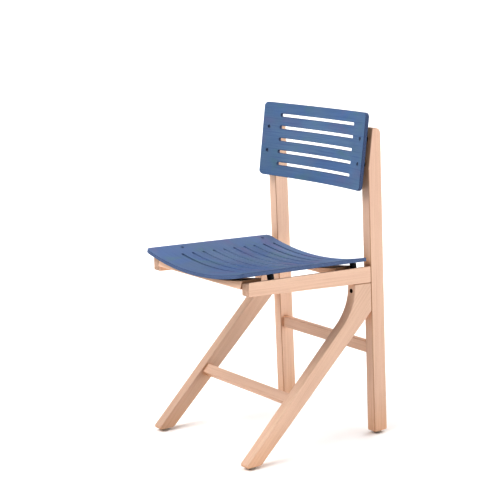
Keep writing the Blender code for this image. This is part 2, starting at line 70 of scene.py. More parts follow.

# Factors on the timber's colour at the floor and at PAINTED_LIGHT_TOP, changing evenly between.
# They even out light that the lamps leave too strong or too weak on a piece; they aren't
# differences in the wood itself.
PAINTED_LIGHT_TOP = 0.8
EVEN = (1.0, 1.0)
PAINTED_LIGHT_FACTORS = {
    "left_rear_post": (0.95, 1.02),
    "right_rear_post": (0.94, 1.24),
    "left_front_leg": (0.97, 0.88),
    "right_front_leg": (0.83, 0.97),
    "front_cross_rail": (1.26, 1.26),
    "rear_cross_rail": (1.24, 1.24),
    "front_stretcher": (0.95, 0.95),
    "rear_stretcher": (1.06, 1.06),
}

# bent panels: sizes along the hollow face, as in the CAD
PANEL_THICK = 0.0095
PANEL_CORNER = 0.012
PANEL_ARRIS = 0.0014
FACE_TURN = 0.975            # cosine to the sheet below which a face is on its edge
SLOT_WIDTH = 0.008
SLOT_END = 0.146
SLOT_MARGIN = 0.002          # past a slot's end, still counted as its wall
PANEL_MARGIN = 0.010         # a panel's outer border, where no slot lies
PANEL_STEPS = 22             # stations from the middle to the straight end of a slot
BORDER_STEPS = 6             # from a slot's end to the start of the corner
CORNER_STEPS = 6
PANELS = {
    "seat_shell": {"width": 0.404, "height": 0.405, "radius": 0.780,
                   "centre": (0.0, -0.0359, 0.4594), "tilt": -math.atan(0.040),
                   "slots": 10, "pitch": 0.0335, "first": 0.075,
                   "looks": ("seat_plywood", "seat_edge_painted_light", "slot_wall")},
    "back_shell": {"width": 0.405, "height": 0.195, "radius": 0.720,
                   "centre": (0.0, 0.1748, 0.7423), "tilt": math.radians(83.0),
                   "slots": 5, "pitch": 0.0323, "first": 0.0338,
                   "looks": ("back_plywood", "ply_edge", "ply_edge")},
}

# fixings
SCREW = {"radius": 0.0022, "head": 0.0040, "deep": 0.0024, "socket": 0.0016}
BOLT = {"radius": 0.0030, "head": 0.0048, "deep": 0.0060, "socket": 0.0023}
HEAD_ROOM = 0.0004           # round a screw head in its hole
HEAD_SINK = 0.0012           # how deep a panel screw's head lies below the face
COUNTERSINK = 0.0040         # how far the drill flares out past the face
DRILL_REACH = 0.02           # how far the drill goes in below the head's top
FINE = 40                    # sides of a turned piece
SPACER_BULGE = 0.0003
SPACER_ARRIS = 0.0007
NAIL_RADIUS = 0.0013
NAIL_HEAD_DEEP = 0.0010

# camera: where it stands, how it is turned in degrees, and its lens in millimetres
CAMERA_AT = (2.7053, -2.1491, 1.2115)
CAMERA_AZIMUTH = 52.24
CAMERA_PITCH = 11.83
CAMERA_ROLL = -0.69
CAMERA_LENS = 99.3
SENSOR_WIDTH = 36.0

# light: a dome and wide soft lamps (name, azimuth, elevation, strength)
DOME = 0.35
LIGHT_SPREAD = 50            # degrees
LIGHTS = (
    ("front", -15, 50, 0.87),
    ("left_rear", 130, 15, 0.54),
    ("high_rear", 190, 50, 0.52),
)
FLOOR_REACH = 90
CONTRAST = 0.74              # display gamma

# colours, in linear light
BEECH_PINK = (0.686, 0.483, 0.377)
BEECH_STRAW = (0.720, 0.521, 0.403)
BEECH_BROWN = (0.576, 0.381, 0.267)
BEECH_FLECK = (0.407, 0.263, 0.178)
END_LIGHT = (0.627, 0.441, 0.339)
END_DARK = (0.492, 0.331, 0.246)
END_RING = (0.339, 0.212, 0.144)
STAIN_BLUE = (0.110, 0.178, 0.335)
STAIN_SLATE = (0.131, 0.188, 0.297)
STAIN_VIOLET = (0.157, 0.165, 0.297)
STAIN_GREEN = (0.119, 0.203, 0.263)
STAIN_PALE = (0.165, 0.233, 0.347)
STAIN_DEEP = (0.068, 0.110, 0.246)
EDGE_LIGHT = (0.106, 0.161, 0.280)
EDGE_DARK = (0.064, 0.097, 0.199)
EDGE_GLUE = (0.019, 0.027, 0.064)
# painted shade inside drilled holes
BORE_DARK = (0.040, 0.020, 0.010)
BORE_LIGHT = (0.090, 0.050, 0.028)
STEEL_BLACK = (0.140, 0.190, 0.290)
STEEL_WORN = (0.250, 0.300, 0.390)
RUBBER_LIGHT = (0.014, 0.014, 0.015)
RUBBER_DARK = (0.006, 0.006, 0.007)
GLIDE_LIGHT = (0.420, 0.355, 0.290)
GLIDE_DARK = (0.290, 0.240, 0.195)
FLOOR_LIGHT = (0.96, 0.96, 0.96)
FLOOR_DARK = (0.94, 0.94, 0.94)

# tints that multiply a colour
PLAIN = (1.0, 1.0, 1.0)
# painted shade for the arrises along joints between timbers
JOINT_PAINTED_SHADE = (0.76, 0.69, 0.62)
# painted shade, multiplied into the colour where the surface is closed in
PAINTED_CORNER_SHADE = (0.96, 0.79, 0.60)
# painted light: the back panel's copy of the one blue stain, made less red
BACK_PAINTED_LIGHT = (0.91, 1.02, 1.00)
# painted light: the seat's copy of the ply edge, made lighter
SEAT_EDGE_PAINTED_LIGHT = (1.35, 1.35, 1.30)
# painted light: a lighter copy of the stain for the seat's slot walls, against the shade in the
# slots
SLOT_WALL_PAINTED_LIGHT = (1.15, 1.12, 1.08)

# grain and growth, in metres
RING_PITCH = 0.0048          # growth rings on a face
END_RING_PITCH = 0.0030      # the same on end grain
PLY_THICK = PANEL_THICK / 7
# how far the painted corner shade looks for a surface closing another in
CLOSE_BY = 0.20              # how near a surface closes another in


# ---------------------------------------------------------------- material nodes
class Recipe:
    """A node material under construction. Noises, sums and mixes are output sockets."""

    def __init__(self, name):
        self.mat = bpy.data.materials.new(name)
        self.mat.use_nodes = True
        self.tree = self.mat.node_tree
        self.shader = self.tree.nodes["Principled BSDF"]

    def node(self, kind, inputs, **settings):
        """A shader node with its inputs linked or set."""
        made = self.tree.nodes.new(kind)
        for key, value in settings.items():
            setattr(made, key, value)
        for key, value in inputs.items():
            if isinstance(value, bpy.types.NodeSocket):
                self.tree.links.new(value, made.inputs[key])
            else:
                made.inputs[key].default_value = value
        return made

    def grain(self, scale):
        """The piece's own grain coordinates (across, across, along) times a scale."""
        source = self.node("ShaderNodeAttribute", {}, attribute_name="grain")
        return self.node("ShaderNodeVectorMath", {0: source.outputs["Vector"], 1: scale},
                         operation="MULTIPLY").outputs[0]

    def noise(self, scale, detail=3.0, roughness=0.5, distortion=0.0):
        """Cloudy noise in the grain coordinates."""
        return self.node("ShaderNodeTexNoise",
                         {"Vector": self.grain(scale), "Scale": 1.0, "Detail": detail,
                          "Roughness": roughness, "Distortion": distortion}).outputs["Fac"]

    def cells(self, scale):
        """Distance to the middle of a cell, for flecks."""
        return self.node("ShaderNodeTexVoronoi",
                         {"Vector": self.grain(scale), "Scale": 1.0}).outputs["Distance"]

    def math(self, operation, a, b=0.0):
        """Arithmetic on one or two values."""
        return self.node("ShaderNodeMath", {0: a, 1: b}, operation=operation).outputs[0]

    def fade(self, value, low, high, out_low=0.0, out_high=1.0):
        """Map low..high smoothly to out_low..out_high."""
        return self.node("ShaderNodeMapRange",
                         {"Value": value, "From Min": low, "From Max": high,
                          "To Min": out_low, "To Max": out_high},
                         interpolation_type="SMOOTHSTEP").outputs[0]

    def mix(self, factor, a, b, blend="MIX"):
        """Colour b over colour a, by a factor."""
        made = self.tree.nodes.new("ShaderNodeMix")
        made.data_type = "RGBA"
        made.blend_type = blend
        for index, value in ((0, factor), (6, a), (7, b)):    # factor and colour sockets
            if isinstance(value, bpy.types.NodeSocket):
                self.tree.links.new(value, made.inputs[index])
            elif index == 0:
                made.inputs[index].default_value = value
            else:
                made.inputs[index].default_value = (*value, 1.0)
        return made.outputs[2]

    def paint_corner_shade(self, colour):
        """Painted shade and warm bounce light: the colour, deepened and reddened where the
        surface is closed in.
        """
        open_sky = self.node("ShaderNodeAmbientOcclusion", {"Distance": CLOSE_BY}).outputs["AO"]
        deep = self.mix(1.0, colour, PAINTED_CORNER_SHADE, "MULTIPLY")
        return self.mix(self.fade(open_sky, 0.20, 0.92), deep, colour)

    def finish(self, colour, roughness, height=None, relief=0.0, **constants):
        """Connect the shader. `relief` is the height of the bump in metres."""
        self.tree.links.new(colour, self.shader.inputs["Base Color"])
        self.tree.links.new(roughness, self.shader.inputs["Roughness"])
        if height is not None:
            bump = self.node("ShaderNodeBump", {"Height": height, "Distance": relief,
                                                "Strength": 0.6})
            self.tree.links.new(bump.outputs[0], self.shader.inputs["Normal"])
        for key, value in constants.items():
            self.shader.inputs[key.replace("_", " ")].default_value = value
        return self.mat


def beech_material(name, shade):
    """Pale steamed beech: soft rings, long streaks and short ray flecks under satin lacquer.
    Its corners carry painted shade, reddened where timber lights timber. `shade` tints the whole."""
    r = Recipe(name)
    broad = r.noise((16, 16, 2.2), 2.0)
    streak = r.noise((240, 240, 5), 4.0, 0.6)
    fibre = r.noise((1500, 1500, 30), 2.0)
    drift = r.noise((12, 12, 1.5), 2.0)
    across = r.node("ShaderNodeVectorMath", {0: r.grain((1, 1, 0))}, operation="LENGTH")
    reach = r.math("ADD", across.outputs["Value"], r.math("MULTIPLY", drift, 0.016))
    rings = r.math("SINE", r.math("MULTIPLY", reach, math.tau / RING_PITCH))
    late = r.fade(rings, 0.35, 1.0)
    flecks = r.fade(r.cells((1100, 1100, 190)), 0.30, 0.14)
    colour = r.mix(r.fade(broad, 0.32, 0.68), BEECH_PINK, BEECH_STRAW)
    colour = r.mix(r.fade(streak, 0.42, 0.78, 0.0, 0.55), colour, BEECH_BROWN)
    colour = r.mix(r.math("MULTIPLY", late, 0.16), colour, BEECH_BROWN)
    colour = r.mix(r.math("MULTIPLY", flecks, 0.26), colour, BEECH_FLECK)
    # on the arris copy, `shade` is painted shade along the joints
    colour = r.mix(1.0, colour, shade, "MULTIPLY")
    # painted light and shade: the piece's factor, graded with height
    painted_light_factor = r.node("ShaderNodeAttribute", {}, attribute_name="painted_light_factor").outputs["Fac"]
    colour = r.mix(1.0, colour, painted_light_factor, "MULTIPLY")
    # painted shade, warm, in closed-in corners
    colour = r.paint_corner_shade(colour)
    rough = r.fade(fibre, 0.2, 0.8, 0.38, 0.52)
    height = r.math("SUBTRACT", fibre, r.math("MULTIPLY", flecks, 0.5))
    return r.finish(colour, rough, height, 0.00008, Coat_Weight=0.12, Coat_Roughness=0.35,
                    Specular_IOR_Level=0.4)


def bore_material():
    """Painted shade inside a drilled hole: near black, mottled."""
    r = Recipe("bore")
    bore_mottle = r.noise((500, 500, 500), 2.0)
    colour = r.mix(r.fade(bore_mottle, 0.3, 0.7), BORE_DARK, BORE_LIGHT)
    return r.finish(colour, r.fade(bore_mottle, 0.3, 0.7, 0.8, 0.9), Specular_IOR_Level=0.1)


def beech_end_material():
    """Beech end grain: darker where it drank the lacquer, with close growth rings."""
    r = Recipe("beech_end")
    drift = r.noise((25, 25, 4), 2.0)
    pores = r.noise((2600, 2600, 200), 1.0)
    patch = r.noise((90, 90, 40), 3.0)
    across = r.node("ShaderNodeVectorMath", {0: r.grain((1, 1, 0))}, operation="LENGTH")
    reach = r.math("ADD", across.outputs["Value"], r.math("MULTIPLY", drift, 0.008))
    rings = r.fade(r.math("SINE", r.math("MULTIPLY", reach, math.tau / END_RING_PITCH)), 0.0, 1.0)
    colour = r.mix(r.fade(patch, 0.3, 0.7), END_LIGHT, END_DARK)
    colour = r.mix(r.math("MULTIPLY", rings, 0.45), colour, END_RING)
    colour = r.mix(r.fade(pores, 0.55, 0.75, 0.0, 0.4), colour, END_RING)
    # painted shade, warm, in closed-in corners
    colour = r.paint_corner_shade(colour)
    rough = r.fade(pores, 0.3, 0.7, 0.55, 0.7)
    return r.finish(colour, rough, pores, 0.0001, Specular_IOR_Level=0.3)


def stained_ply_material(name, shade):
    """Blue-stained face veneer: cloudy stain, long grain and dark pores under lacquer.
    `shade` tints the whole sheet; on the back panel's copy and the seat's slot walls it is
    painted light."""
    r = Recipe(name)
    cloud = r.noise((10, 10, 7), 3.0, 0.55, 0.4)
    tint = r.noise((17, 17, 11), 2.0, 0.5, 0.6)
    rub = r.noise((6, 6, 4.5), 2.0, 0.5, 0.3)
    streak = r.noise((300, 300, 8), 4.0, 0.62)
    pores = r.noise((1900, 1900, 70), 2.0, 0.5)
    colour = r.mix(r.fade(cloud, 0.34, 0.66), STAIN_BLUE, STAIN_SLATE)
    colour = r.mix(r.fade(tint, 0.52, 0.70, 0.0, 0.70), colour, STAIN_VIOLET)
    colour = r.mix(r.fade(tint, 0.46, 0.30, 0.0, 0.70), colour, STAIN_GREEN)
    colour = r.mix(r.fade(rub, 0.54, 0.70, 0.0, 0.60), colour, STAIN_PALE)
    colour = r.mix(r.fade(streak, 0.44, 0.74, 0.0, 0.55), colour, STAIN_DEEP)
    colour = r.mix(r.fade(streak, 0.42, 0.24, 0.0, 0.30), colour, STAIN_PALE)
    colour = r.mix(r.fade(pores, 0.60, 0.76, 0.0, 0.45), colour, STAIN_DEEP)
    colour = r.mix(1.0, colour, shade, "MULTIPLY")
    rough = r.fade(cloud, 0.3, 0.7, 0.48, 0.60)
    height = r.math("SUBTRACT", streak, r.math("MULTIPLY", r.fade(pores, 0.6, 0.76), 0.7))
    return r.finish(colour, rough, height, 0.00009, Specular_IOR_Level=0.34)


def ply_edge_material(name, shade):
    """Panel edges: stained plies, darker where the grain runs out, with thin glue lines."""
    r = Recipe(name)
    depth = r.node("ShaderNodeSeparateXYZ", {0: r.grain((1, 1 / PLY_THICK, 1))}).outputs[1]
    waver = r.math("MULTIPLY", r.noise((20, 20, 26), 2.0), 0.35)
    layer = r.math("ADD", depth, waver)
    glue = r.fade(r.math("PINGPONG", layer, 0.5), 0.0, 0.14, 1.0, 0.0)
    odd = r.fade(r.math("PINGPONG", r.math("MULTIPLY", layer, 0.5), 0.5), 0.22, 0.28)
    fibre = r.noise((900, 900, 700), 2.0)
    colour = r.mix(odd, EDGE_LIGHT, EDGE_DARK)
    colour = r.mix(r.fade(fibre, 0.45, 0.7, 0.0, 0.5), colour, EDGE_GLUE)
    colour = r.mix(glue, colour, EDGE_GLUE)
    # on the seat's copy, `shade` is painted light
    colour = r.mix(1.0, colour, shade, "MULTIPLY")
    rough = r.fade(fibre, 0.3, 0.7, 0.45, 0.62)
    return r.finish(colour, rough, r.math("SUBTRACT", fibre, glue), 0.00012,
                    Specular_IOR_Level=0.35)


def moulded_material(name, light, dark, roughness, relief):
    """Dull rubber or plastic with a moulded texture and dusty patches."""
    r = Recipe(name)
    patch = r.noise((120, 120, 120), 3.0)
    speck = r.noise((1400, 1400, 1400), 2.0)
    colour = r.mix(r.fade(patch, 0.35, 0.7), dark, light)
    rough = r.fade(speck, 0.3, 0.7, *roughness)
    return r.finish(colour, rough, speck, relief, Specular_IOR_Level=0.35)


def steel_material():
    """Blackened steel, rubbed brighter in patches."""
    r = Recipe("dark_steel")
    rub = r.noise((700, 700, 700), 4.0, 0.6)
    fine = r.noise((3000, 3000, 600), 2.0)
    colour = r.mix(r.fade(rub, 0.52, 0.75, 0.0, 0.6), STEEL_BLACK, STEEL_WORN)
    rough = r.fade(fine, 0.3, 0.7, 0.30, 0.46)
    return r.finish(colour, rough, fine, 0.00003, Metallic=0.85)


def floor_material():
    """Seamless pale studio floor with the faintest mottle."""
    r = Recipe("studio_floor")
    spot = r.node("ShaderNodeTexCoord", {}).outputs["Object"]
    mottle = r.node("ShaderNodeTexNoise", {"Vector": spot, "Scale": 3.0, "Detail": 3.0})
    colour = r.mix(mottle.outputs["Fac"], FLOOR_DARK, FLOOR_LIGHT)
    return r.finish(colour, r.fade(mottle.outputs["Fac"], 0.3, 0.7, 0.85, 0.95),
                    Specular_IOR_Level=0.1)


MATERIALS = {
    "beech": beech_material("beech", PLAIN),
    # copy with painted shade, for arrises along joints
    "beech_painted_joint_shade": beech_material("beech_painted_joint_shade", JOINT_PAINTED_SHADE),
    "bore": bore_material(),
    "beech_end": beech_end_material(),
    "seat_plywood": stained_ply_material("seat_plywood", PLAIN),
    # the back's copy carries painted light, tinted less red
    "back_plywood": stained_ply_material("back_plywood", BACK_PAINTED_LIGHT),
    "ply_edge": ply_edge_material("ply_edge", PLAIN),
    # the seat's edge copy, made lighter: painted light
    "seat_edge_painted_light": ply_edge_material("seat_edge_painted_light", SEAT_EDGE_PAINTED_LIGHT),
    # lighter stain copy for the seat's slot walls: painted light
    "slot_wall": stained_ply_material("slot_wall", SLOT_WALL_PAINTED_LIGHT),
    "black_rubber": moulded_material("black_rubber", RUBBER_LIGHT, RUBBER_DARK,
                                     (0.62, 0.80), 0.00010),
    "glide_plastic": moulded_material("glide_plastic", GLIDE_LIGHT, GLIDE_DARK,
                                      (0.42, 0.60), 0.00006),
    "dark_steel": steel_material(),
}


# ---------------------------------------------------------------- reading the CAD
def welded(node):
    """A bmesh of a CAD node with its split corners joined."""
    bm = bmesh.new()
    bm.from_mesh(nodes[node].data)
    bmesh.ops.remove_doubles(bm, verts=bm.verts, dist=1e-6)
    return bm


def chained(edges):
    """Closed loops of points from a set of bmesh edges."""
    links = {}
    for edge in edges:
        a, b = edge.verts
        links.setdefault(a, []).append(b)
        links.setdefault(b, []).append(a)
    loops = []
    while links:
        vert = next(iter(links))
        loop = []
        while vert in links:
            loop.append(vert.co.copy())
            onward = [v for v in links.pop(vert) if v in links]
            vert = onward[0] if onward else None
        loops.append(loop)
    return loops


def straightened(points):
    """The polygon without points that lie on a straight run."""
    least_turn = 0.004
    kept = []
    for i, point in enumerate(points):
        before = point - points[i - 1]
        after = points[(i + 1) % len(points)] - point
        turn = before.cross(after).length
        if before.length > 1e-6 and turn > least_turn * before.length * after.length:
            kept.append(point)
    return kept


def area_vector(points):
    """Normal of a polygon, as long as its area."""
    total = Vector((0, 0, 0))
    for i, point in enumerate(points):
        total += points[i - 1].cross(point)
    return total / 2


def section(node, normal, share):
    """A CAD node's outline in a plane across it, and its lowest and highest reach along
    the plane's normal. `share` places the plane between the two."""
    normal = Vector(normal).normalized()
    bm = welded(node)
    reach = [normal.dot(v.co) for v in bm.verts]
    low, high = min(reach), max(reach)
    plane = normal * (low + share * (high - low))
    geometry = bm.verts[:] + bm.edges[:] + bm.faces[:]
    found = bmesh.ops.bisect_plane(bm, geom=geometry, plane_co=plane, plane_no=normal,
                                   dist=1e-7)
    edges = [g for g in found["geom_cut"] if isinstance(g, bmesh.types.BMEdge)]
    loops = sorted(chained(edges), key=lambda loop: area_vector(loop).length)
    outline = loops[-1]
    bm.free()
    if area_vector(outline).dot(normal) < 0:
        outline.reverse()
    flat = [p - normal * normal.dot(p) for p in straightened(outline)]
    return flat, normal, low, high


def end_outlines(node, normal, shares):
    """A CAD node's outline at its two faces, carried on from two sections inside it."""
    first, normal, low, high = section(node, normal, shares[0])
    second = section(node, normal, shares[1])[0]
    start = min(range(len(second)), key=lambda i: (second[i] - first[0]).length)
    second = second[start:] + second[:start]
    ends = []
    for share, level in ((0.0, low), (1.0, high)):
        t = (share - shares[0]) / (shares[1] - shares[0])
        ends.append([a + (b - a) * t + normal * level for a, b in zip(first, second)])
    return first, ends


def long_axis(points):
    """Unit vector along the direction in which the points spread most."""
    data = np.array([tuple(p) for p in points])
    data = data - data.mean(0)
    axis = Vector(np.linalg.svd(data, full_matrices=False)[2][0])
    return axis if axis.z + axis.y > 0 else -axis


def near_outline(point, outline, reach=CONTACT):
    """True if the point lies within `reach` of the outline."""
    for i, end in enumerate(outline):
        start = outline[i - 1]
        run = end - start
        along = max(0.0, min(1.0, (point - start).dot(run) / run.length_squared))
        if (start + run * along - point).length < reach:
            return True
    return False


# ---------------------------------------------------------------- making pieces
def link(name, mesh):
    """A new object in the scene."""
    obj = bpy.data.objects.new(name, mesh)
    bpy.context.scene.collection.objects.link(obj)
    return obj


def mesh_of(bm, name):
    """The bmesh as a mesh, its normals outwards."""
    mesh = bpy.data.meshes.new(name)
    bmesh.ops.recalc_face_normals(bm, faces=bm.faces)
    bm.to_mesh(mesh)
    bm.free()
    return mesh


def solid_mesh(name, solids):
    """One mesh from (points, faces) pairs."""
    bm = bmesh.new()
    for points, faces in solids:
        verts = [bm.verts.new(p) for p in points]
        for face in faces:
            bm.faces.new([verts[i] for i in face])
    return mesh_of(bm, name)


def round_edges(obj, width, by_weight=False, arris_look=-1):
    """Round the weighted edges, or all sharp ones, and give the arrises a look."""
    mod = obj.modifiers.new("arris", "BEVEL")
    mod.width = width
    mod.segments = ARRIS_STEPS
    mod.limit_method = "WEIGHT" if by_weight else "ANGLE"
    mod.angle_limit = SHARP_TURN
    mod.use_clamp_overlap = False
    mod.material = arris_look


def bore(obj, solids):
    """Cut solids out of an object. Returns the cutting tool, which `settle` removes."""
    tool = link(f"{obj.name}_tool", solid_mesh(f"{obj.name}_tool", solids))
    mod = obj.modifiers.new("bores", "BOOLEAN")
    mod.operation = "DIFFERENCE"
    mod.solver = "EXACT"
    mod.object = tool
    return tool


def settle(obj, tools=()):
    """Apply the modifiers, smooth the shading and remove the cutting tools."""
    weigh = obj.modifiers.new("flat_faces", "WEIGHTED_NORMAL")
    weigh.keep_sharp = True
    weigh.weight = 100
    obj.data.shade_smooth()
    graph = bpy.context.evaluated_depsgraph_get()
    mesh = bpy.data.meshes.new_from_object(obj.evaluated_get(graph),
                                           preserve_all_data_layers=True, depsgraph=graph)
    obj.modifiers.clear()
    obj.data = mesh
    mesh.name = obj.name
    for tool in tools:
        bpy.data.objects.remove(tool, do_unlink=True)


def set_grain(obj, frame_of_grain, offset):
    """Store each point's grain coordinates (across, across, along), in metres."""
    mesh = obj.data
    values = np.empty(len(mesh.vertices) * 3, np.float32)
    for i, vert in enumerate(mesh.vertices):
        values[i * 3:i * 3 + 3] = frame_of_grain(vert.co) + offset
    layer = mesh.attributes.get("grain") or mesh.attributes.new("grain", "FLOAT_VECTOR", "POINT")
    layer.data.foreach_set("vector", values)


def set_painted_light(obj, tones):
    """Store the factor of painted light and shade on a timber's colour, given at the floor and at
    PAINTED_LIGHT_TOP.
    """
    mesh = obj.data
    low, high = tones
    values = [low + (high - low) * v.co.z / PAINTED_LIGHT_TOP for v in mesh.vertices]
    layer = mesh.attributes.get("painted_light_factor") or mesh.attributes.new("painted_light_factor", "FLOAT", "POINT")
    layer.data.foreach_set("value", np.array(values, np.float32))


def along_axis(axis):
    """Grain coordinates for straight grain along an axis."""
    axis = axis.normalized()
    aside = Vector((1, 0, 0)) if abs(axis.x) < 0.9 else Vector((0, 0, 1))
    across = axis.cross(aside).normalized()
    other = axis.cross(across)
    return lambda p: Vector((across.dot(p), other.dot(p), axis.dot(p)))


def dress(obj, looks):
    """Give the object its materials, before any modifier is applied."""
    for name in looks:
        obj.data.materials.append(MATERIALS[name])


def stand_in(obj, node):
    """Let the object take the CAD node's place."""
    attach(obj, BODY)
    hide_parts(node)


# ---------------------------------------------------------------- timber
def log_offset(index):
    """Where a piece was sawn: each comes from its own place in the log."""
    return Vector((0.045 + 0.017 * (index % 4), 0.030 + 0.023 * (index % 3), 0.71 * index))


def mark_end_grain(obj, axis):
    """Put end grain on the faces that cross the grain."""
    for face in obj.data.polygons:
        if abs(face.normal.dot(axis)) > END_FACING:
            face.material_index = TIMBER_LOOKS.index("beech_end")


def lighten_open_arrises(obj, normal, others):
    """Only arrises along a joint keep the darker look, painted shade in the groove between two
    timbers.
    """
    dark = TIMBER_LOOKS.index("beech_painted_joint_shade")
    for face in obj.data.polygons:
        if face.material_index == dark:
            spot = face.center - normal * normal.dot(face.center)
            if not any(near_outline(spot, outline, JOINT_REACH) for outline in others):
                face.material_index = TIMBER_LOOKS.index("beech")


def timber(node, normal, shares, index, others=(), bores=()):
    """A board cut to the CAD node's outline, its arrises rounded, with grain along it."""
    outline, ends = end_outlines(node, normal, shares)
    bm = bmesh.new()
    rings = [[bm.verts.new(p) for p in end] for end in ends]
    count = len(outline)
    bm.faces.new(list(reversed(rings[0])))
    bm.faces.new(rings[1])
    for i in range(count):
        j = (i + 1) % count
        bm.faces.new((rings[0][i], rings[0][j], rings[1][j], rings[1][i]))
    weight = bm.edges.layers.float.new("bevel_weight_edge")
    jointed = [any(near_outline(corner, other) for other in others) for corner in outline]
    for ring in rings:
        for i in range(count):
            edge = bm.edges.get((ring[i - 1], ring[i]))
            edge[weight] = JOINT_ARRIS if jointed[i] and jointed[i - 1] else 1.0
    for i in range(count):
        before = outline[i] - outline[i - 1]
        after = outline[(i + 1) % count] - outline[i]
        if before.angle(after) > SHARP_TURN:
            edge = bm.edges.get((rings[0][i], rings[1][i]))
            edge[weight] = JOINT_ARRIS if jointed[i] else 1.0
    obj = link(f"{node}_timber", mesh_of(bm, node))
    dress(obj, TIMBER_LOOKS)
    round_edges(obj, ARRIS, by_weight=True, arris_look=TIMBER_LOOKS.index("beech_painted_joint_shade"))
    tools = [bore(obj, bores)] if bores else []
    settle(obj, tools)
    axis = long_axis(outline)
    set_grain(obj, along_axis(axis), log_offset(index))
    mark_end_grain(obj, axis)
    lighten_open_arrises(obj, Vector(normal).normalized(), others)
    set_painted_light(obj, PAINTED_LIGHT_FACTORS.get(node, EVEN))
    stand_in(obj, node)
    return obj


def stretcher(node, index):
    """The CAD's stretcher with its long edges rounded."""
    bm = welded(node)
    bmesh.ops.dissolve_limit(bm, angle_limit=math.radians(1), verts=bm.verts, edges=bm.edges)
    weight = bm.edges.layers.float.new("bevel_weight_edge")
    longest = max(e.calc_length() for e in bm.edges)
    for edge in bm.edges:
        edge[weight] = 1.0 if edge.calc_length() > 0.9 * longest else 0.0
    obj = link(f"{node}_timber", mesh_of(bm, node))
    dress(obj, TIMBER_LOOKS)
    round_edges(obj, STRETCHER_ARRIS, by_weight=True)
    settle(obj)
    axis = Vector((1, 0, 0))
    set_grain(obj, along_axis(axis), log_offset(index))
    mark_end_grain(obj, axis)
    set_painted_light(obj, PAINTED_LIGHT_FACTORS.get(node, EVEN))
    stand_in(obj, node)


def circle(radius, height, sides):
    """Points of a circle about local Z."""
    return [Vector((radius * math.cos(math.tau * i / sides),
                    radius * math.sin(math.tau * i / sides), height)) for i in range(sides)]


def loft(rings):
    """Closed solid through rings, capped at both ends."""
    count = len(rings[0])
    points = [p for ring in rings for p in ring]
    faces = [tuple(reversed(range(count)))]
    for level in range(len(rings) - 1):
        low = level * count
        for i in range(count):
            j = (i + 1) % count
            faces.append((low + i, low + j, low + count + j, low + count + i))
    top = (len(rings) - 1) * count
    faces.append(tuple(top + i for i in range(count)))
    return points, faces


def turned(profile, sides=FINE):
    """Solid of revolution about local Z from (height, radius) pairs, bottom to top."""
    return loft([circle(radius, height, sides) for height, radius in profile])


def ring_of(rings):
    """Closed solid through rings that join up end to end, open through the middle."""
    count = len(rings[0])
    points = [p for ring in rings for p in ring]
    faces = []
    for level in range(len(rings)):
        low = level * count
        high = (level + 1) % len(rings) * count
        for i in range(count):
            j = (i + 1) % count
            faces.append((low + i, low + j, high + j, high + i))
    return points, faces


def moved(solid, matrix):
    """The (points, faces) pair with its points moved."""
    points, faces = solid
    return [matrix @ p for p in points], faces


def rounded(height, radius, arris, steps=4, top=True):
    """(height, radius) pairs round the outer corner of a turned piece."""
    pairs = []
    for i in range(steps + 1):
        angle = math.pi / 2 * i / steps
        out, up = radius - arris + arris * math.cos(angle), arris * math.sin(angle)
        pairs.append((height - arris + up, out) if top else (height + arris - up, out))
    return pairs if top else pairs[::-1]


# ---------------------------------------------------------------- screws and bolts
def screw_axis(node, outward):
    """Direction out of a CAD screw's head, on the side that `outward` points to."""
    axis = long_axis([v.co for v in nodes[node].data.vertices])
    return axis if axis.dot(outward) > 0 else -axis


def screw_frame(node, axis):
    """Matrix with Z along a CAD screw's axis and its origin at the top of its head."""
    points = [v.co for v in nodes[node].data.vertices]
    along = [axis.dot(p) for p in points]
    top = max(along)
    rim = [p for p, a in zip(points, along) if a > top - 1e-5]
    centre = sum(rim, Vector()) / len(rim)
    centre = centre + axis * (top - axis.dot(centre))
    turn = Vector((0, 0, 1)).rotation_difference(axis).to_matrix().to_4x4()
    return Matrix.Translation(centre) @ turn, top - min(along)


def screw_mesh(name, size, length):
    """Screw with a domed rim and a hexagon socket, its head's top at Z = 0."""
    radius, head, deep = size["radius"], size["head"], size["deep"]
    profile = [(-length, radius * 0.45), (2 * radius - length, radius), (-deep, radius),
               (-deep, head - 0.0002), (-deep + 0.0002, head)]
    profile += rounded(0.0, head, deep * 0.45, 5)
    obj = link(name, solid_mesh(name, [turned(profile)]))
    dress(obj, ["dark_steel"])
    socket = turned([(-deep * 0.62, size["socket"]), (0.001, size["socket"])], 6)
    tool = bore(obj, [socket])
    settle(obj, [tool])
    obj.data.set_sharp_from_angle(angle=math.radians(30))
    set_grain(obj, lambda p: p, Vector((0, 0, 0)))
    mesh = obj.data
    bpy.data.objects.remove(obj)
    return mesh


def place_screw(node, mesh, matrix):
    """Put a screw or bolt in its CAD node's place."""
    obj = link(f"{node}_head", mesh)
    obj.matrix_world = matrix
    stand_in(obj, node)


# ---------------------------------------------------------------- bent panels
def panel_matrix(panel):
    """Where a panel lies: its own Y runs up or back along it, its Z out of its hollow."""
    return Matrix.Translation(panel["centre"]) @ Matrix.Rotation(panel["tilt"], 4, "X")


